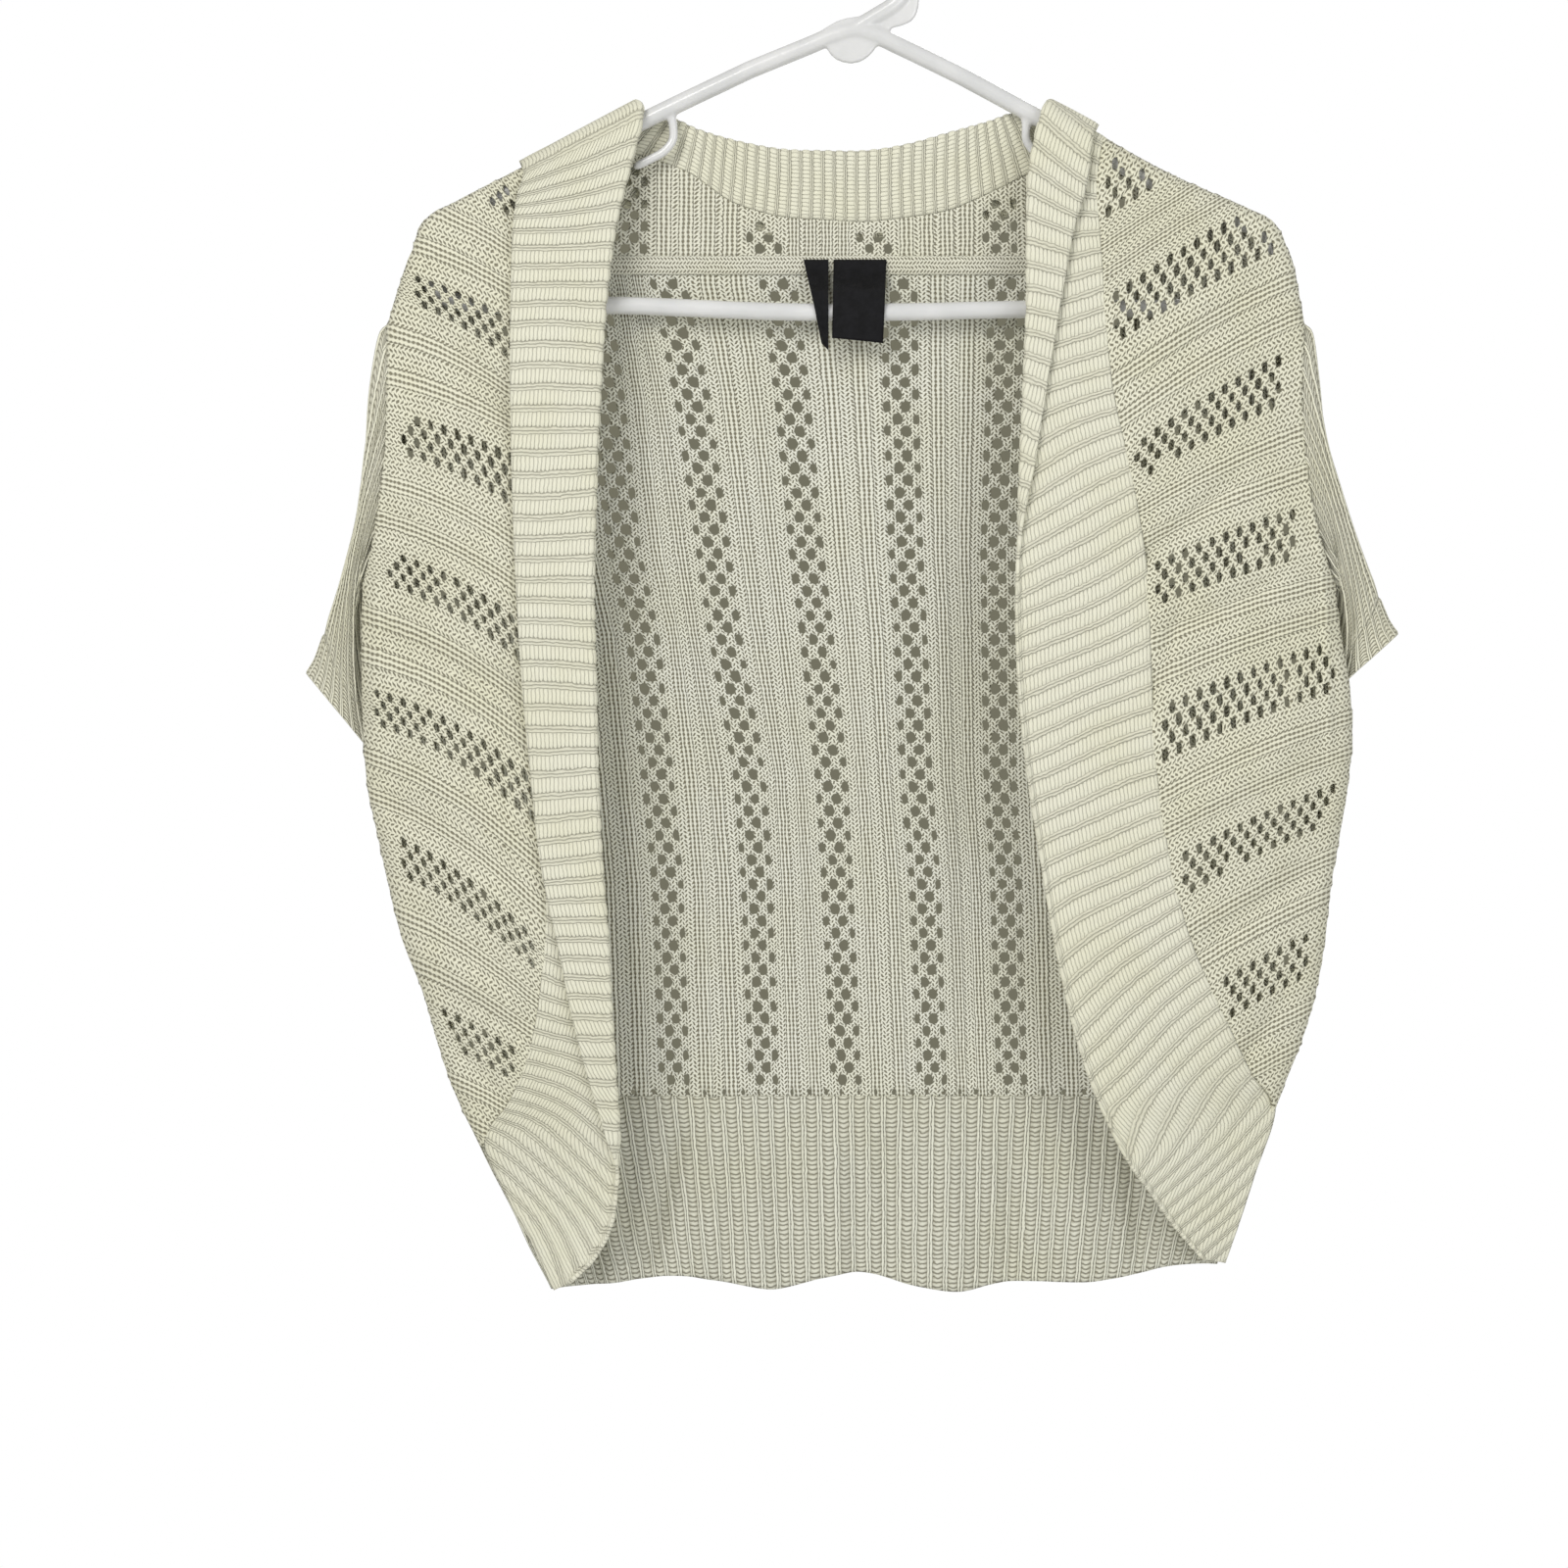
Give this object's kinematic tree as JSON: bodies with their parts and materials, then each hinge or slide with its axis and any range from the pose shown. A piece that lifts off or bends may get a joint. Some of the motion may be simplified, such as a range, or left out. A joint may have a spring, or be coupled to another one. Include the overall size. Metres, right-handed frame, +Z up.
{
  "type": "knitted cardigan on a plastic hanger",
  "caption": "Short-sleeved open-front lace knit cardigan with ribbed shawl band, ribbed hem and cuffs, hanging on a moulded tube hanger.",
  "frame": {"origin": "inside top of the hanger's hook, where a rail carries it", "axes": "+Z up, -Y out of the garment's front, +X to the right of someone looking at the front"},
  "size_m": [0.5261, 0.0625, 0.6904],
  "materials": {
    "lace_knit": "soft cream acrylic knit with eyelets",
    "rib_knit": "soft cream acrylic rib knit",
    "black_label": "black woven satin label, bare",
    "white_plastic": "glossy milky white moulded plastic"
  },
  "bodies": {
    "root": {"back_hem": "rib_knit", "back_panel": "lace_knit", "back_yoke": "lace_knit", "band_left": "rib_knit", "band_right": "rib_knit", "collar_back": "rib_knit", "cuff_left": "rib_knit", "cuff_right": "rib_knit", "front_left": "lace_knit", "front_right": "lace_knit", "hanger": "white_plastic", "label_narrow": "black_label", "label_wide": "black_label", "neck_tape": "rib_knit", "sleeve_left": "lace_knit", "sleeve_right": "lace_knit"}
  },
  "joints": []
}
